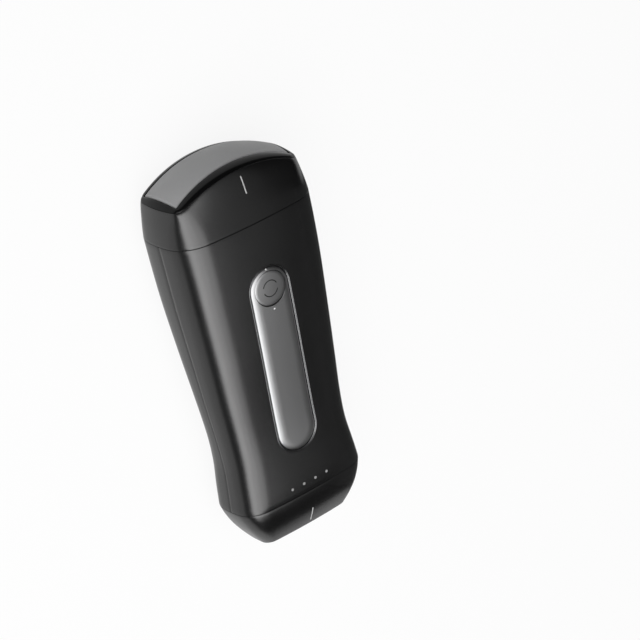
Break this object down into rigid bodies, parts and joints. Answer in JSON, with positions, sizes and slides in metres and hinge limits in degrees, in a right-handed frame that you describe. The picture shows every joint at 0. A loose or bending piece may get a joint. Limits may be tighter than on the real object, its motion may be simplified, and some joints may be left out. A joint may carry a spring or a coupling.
{
  "type": "handheld_ultrasound_scanner",
  "caption": "Handheld wireless ultrasound scanner with a curved array in one head and a flat array in the other, a silver control panel and a round push button.",
  "frame": {"origin": "centre of the bounding box in plan, on the plane of the flat that the scanner lies on", "axes": "+Y along the grip to the curved head, +Z out of the front face with the button, X across the grip"},
  "size_m": [0.0636, 0.1552, 0.0361],
  "materials": {
    "black_plastic": "satin",
    "gloss_black": "polished",
    "seal_rubber": "matte",
    "lens_silicone": "satin",
    "matching_resin": "matte",
    "crystal_ceramic": "matte",
    "backing_rubber": "matte",
    "flex_film": "satin",
    "print_grey": "matte",
    "print_dark": "matte",
    "polished_rim": "polished",
    "silver_panel": "satin",
    "inner_plastic": "matte",
    "plunger_plastic": "satin",
    "clear_guide": "polished",
    "lamp_resin": "satin",
    "chassis_metal": "satin",
    "board_green": "satin",
    "chip_black": "matte",
    "shield_can": "brushed",
    "antenna_ceramic": "matte",
    "connector_plastic": "matte",
    "screw_steel": "satin",
    "battery_wrap": "satin",
    "coil_copper": "satin",
    "ferrite_dark": "matte"
  },
  "bodies": {
    "scanner": {"front_shell": "black_plastic", "back_shell": "black_plastic", "side_seals": "seal_rubber", "convex_cap": "black_plastic", "convex_seal": "seal_rubber", "convex_bezel": "gloss_black", "convex_lens": "lens_silicone", "convex_matching_layer": "matching_resin", "convex_crystals": "crystal_ceramic", "convex_backing": "backing_rubber", "convex_flex": "flex_film", "convex_mark": "print_grey", "linear_cap": "black_plastic", "linear_seal": "seal_rubber", "linear_bezel": "gloss_black", "linear_lens": "lens_silicone", "linear_matching_layer": "matching_resin", "linear_crystals": "crystal_ceramic", "linear_backing": "backing_rubber", "linear_flex": "flex_film", "linear_mark": "print_grey", "panel_rim": "polished_rim", "control_panel": "silver_panel", "button_guide": "inner_plastic", "stem_seal": "seal_rubber", "switch_body": "inner_plastic", "status_light_guide": "clear_guide", "status_leds": "lamp_resin", "indicator_lights": "clear_guide", "indicator_leds": "lamp_resin", "chassis": "chassis_metal", "main_board": "board_green", "beamformer_chips": "chip_black", "processor_chip": "chip_black", "wireless_module": "shield_can", "antenna": "antenna_ceramic", "board_connectors": "connector_plastic", "board_screws": "screw_steel", "heat_spreader": "chassis_metal", "battery": "battery_wrap", "battery_pad": "backing_rubber", "battery_flex": "flex_film", "charging_coil": "coil_copper", "ferrite_sheet": "ferrite_dark"},
    "button": {"button": "silver_panel", "button_mark": "print_dark", "switch_plunger": "plunger_plastic"}
  },
  "joints": [
    {"name": "button_press", "type": "slide", "parent": "scanner", "child": "button", "axis": [0, 0, -1], "range_m": [0, 0.0004], "stiffness_N_per_m": 2500, "springref_m": -0.0004}
  ]
}
